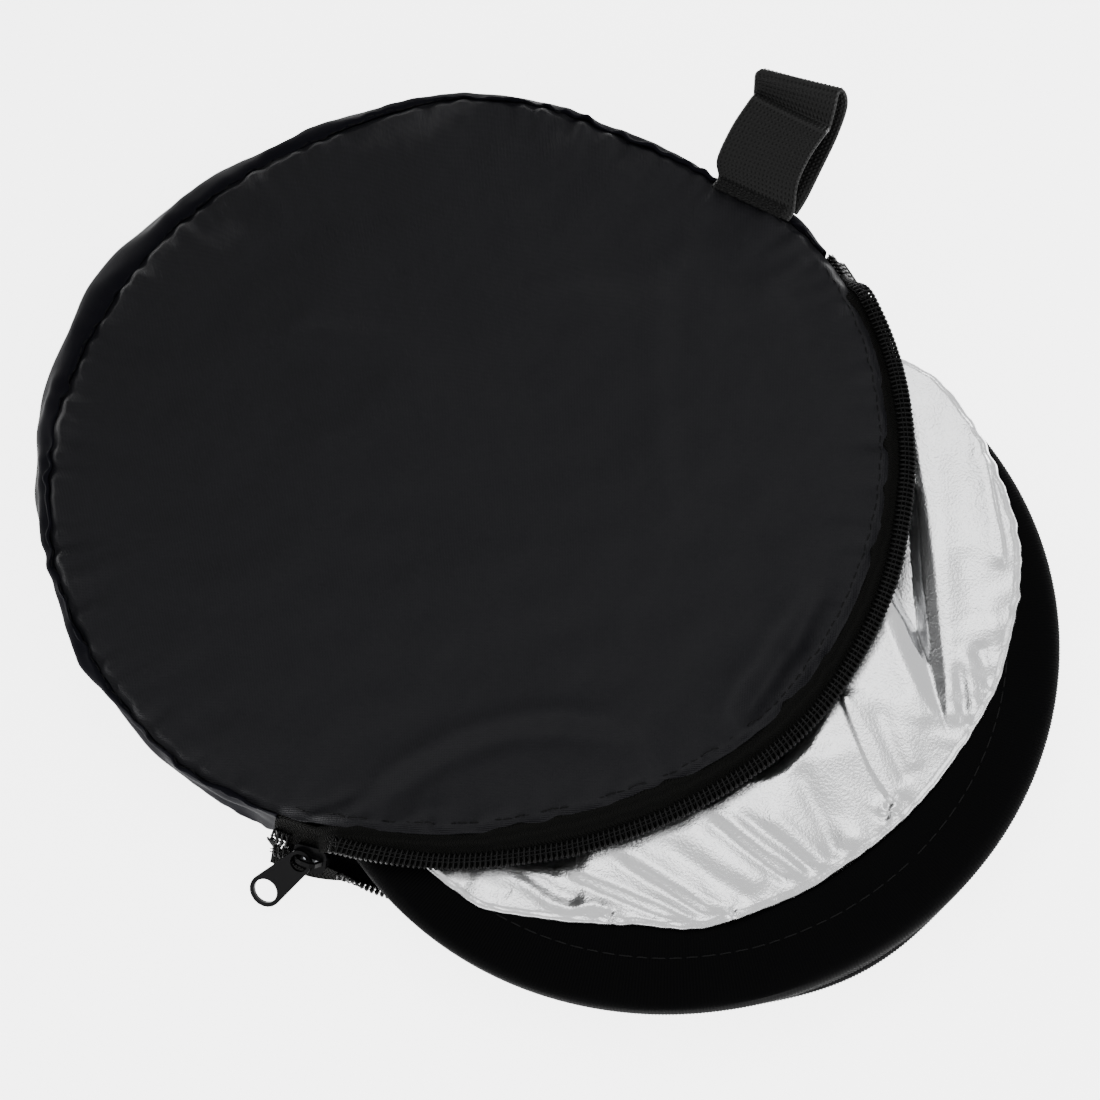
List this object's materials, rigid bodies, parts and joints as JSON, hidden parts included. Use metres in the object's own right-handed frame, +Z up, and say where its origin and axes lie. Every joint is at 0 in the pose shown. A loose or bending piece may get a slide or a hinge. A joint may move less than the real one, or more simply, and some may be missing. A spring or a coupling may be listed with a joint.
{
  "type": "collapsible reflector disc in zip bag",
  "caption": "Folded round photographic reflector with a silver face and a ribbed black rim, half out of its round zipped nylon carry bag with a webbing hang loop.",
  "frame": {"origin": "centre of the bag's round base, on the resting plane", "axes": "+Z up out of the bag's top panel, +X the way the disc slides out of the mouth"},
  "size_m": [0.3155, 0.2828, 0.0387],
  "materials": {
    "bag_nylon": "black plain-weave nylon, slight sheen",
    "zip_tape": "black herringbone zip tape",
    "zip_coil": "black nylon monofilament coil",
    "thread": "black sewing thread",
    "webbing": "black woven webbing",
    "rim_ribbon": "black ribbed elastic ribbon",
    "silver_face": "silver metallised cloth, fine emboss",
    "white_face": "white cloth",
    "spring_steel": "tempered spring steel",
    "splice_steel": "crimped steel sleeve",
    "slider_enamel": "gloss black enamel on die-cast metal"
  },
  "bodies": {
    "bag": {"bag_bottom_panel": "bag_nylon", "bag_top_panel": "bag_nylon", "bag_side_wall": "bag_nylon", "mouth_gusset_strip": "bag_nylon", "top_seam_thread": "thread", "bottom_seam_thread": "thread", "zip_tape_upper": "zip_tape", "zip_tape_lower": "zip_tape", "zip_coil_upper": "zip_coil", "zip_coil_lower": "zip_coil", "zip_end_bartacks": "thread", "hang_loop_root": "webbing", "hang_loop_stitching": "thread"},
    "disc": {"spring_hoop": "spring_steel", "hoop_splice_sleeve": "splice_steel", "rim_binding": "rim_ribbon", "rim_band_top_coil": "rim_ribbon", "rim_band_middle_coil": "rim_ribbon", "rim_band_bottom_coil": "rim_ribbon", "rim_stitching": "thread", "silver_face_panel": "silver_face", "reverse_face_panel": "white_face"},
    "zip_slider": {"zip_slider_body": "slider_enamel", "zip_slider_crown": "slider_enamel", "slider_lock_pawl": "spring_steel"},
    "pull_tab": {"pull_tab": "slider_enamel"},
    "hang_loop": {"hang_loop": "webbing"}
  },
  "joints": [
    {"name": "disc_slide", "type": "slide", "parent": "bag", "child": "disc", "axis": [1, 0, 0], "range_m": [-0.0836, 0.165]},
    {"name": "zip_slider_travel", "type": "hinge", "parent": "bag", "child": "zip_slider", "pos_m": [0, 0, 0.011], "axis": [0, 0, 1], "range_deg": [-1, 2]},
    {"name": "pull_tab_lift", "type": "hinge", "parent": "zip_slider", "child": "pull_tab", "pos_m": [0.0566, -0.11387, 0.0136], "axis": [-0.3023, 0.6789, 0.6691], "range_deg": [0, 120]},
    {"name": "hang_loop_flex", "type": "hinge", "parent": "bag", "child": "hang_loop", "pos_m": [0.00367, 0.12038, 0.023], "axis": [0.9903, 0.1392, 0], "range_deg": [-30, 75], "stiffness_Nm_per_rad": 0.02}
  ]
}
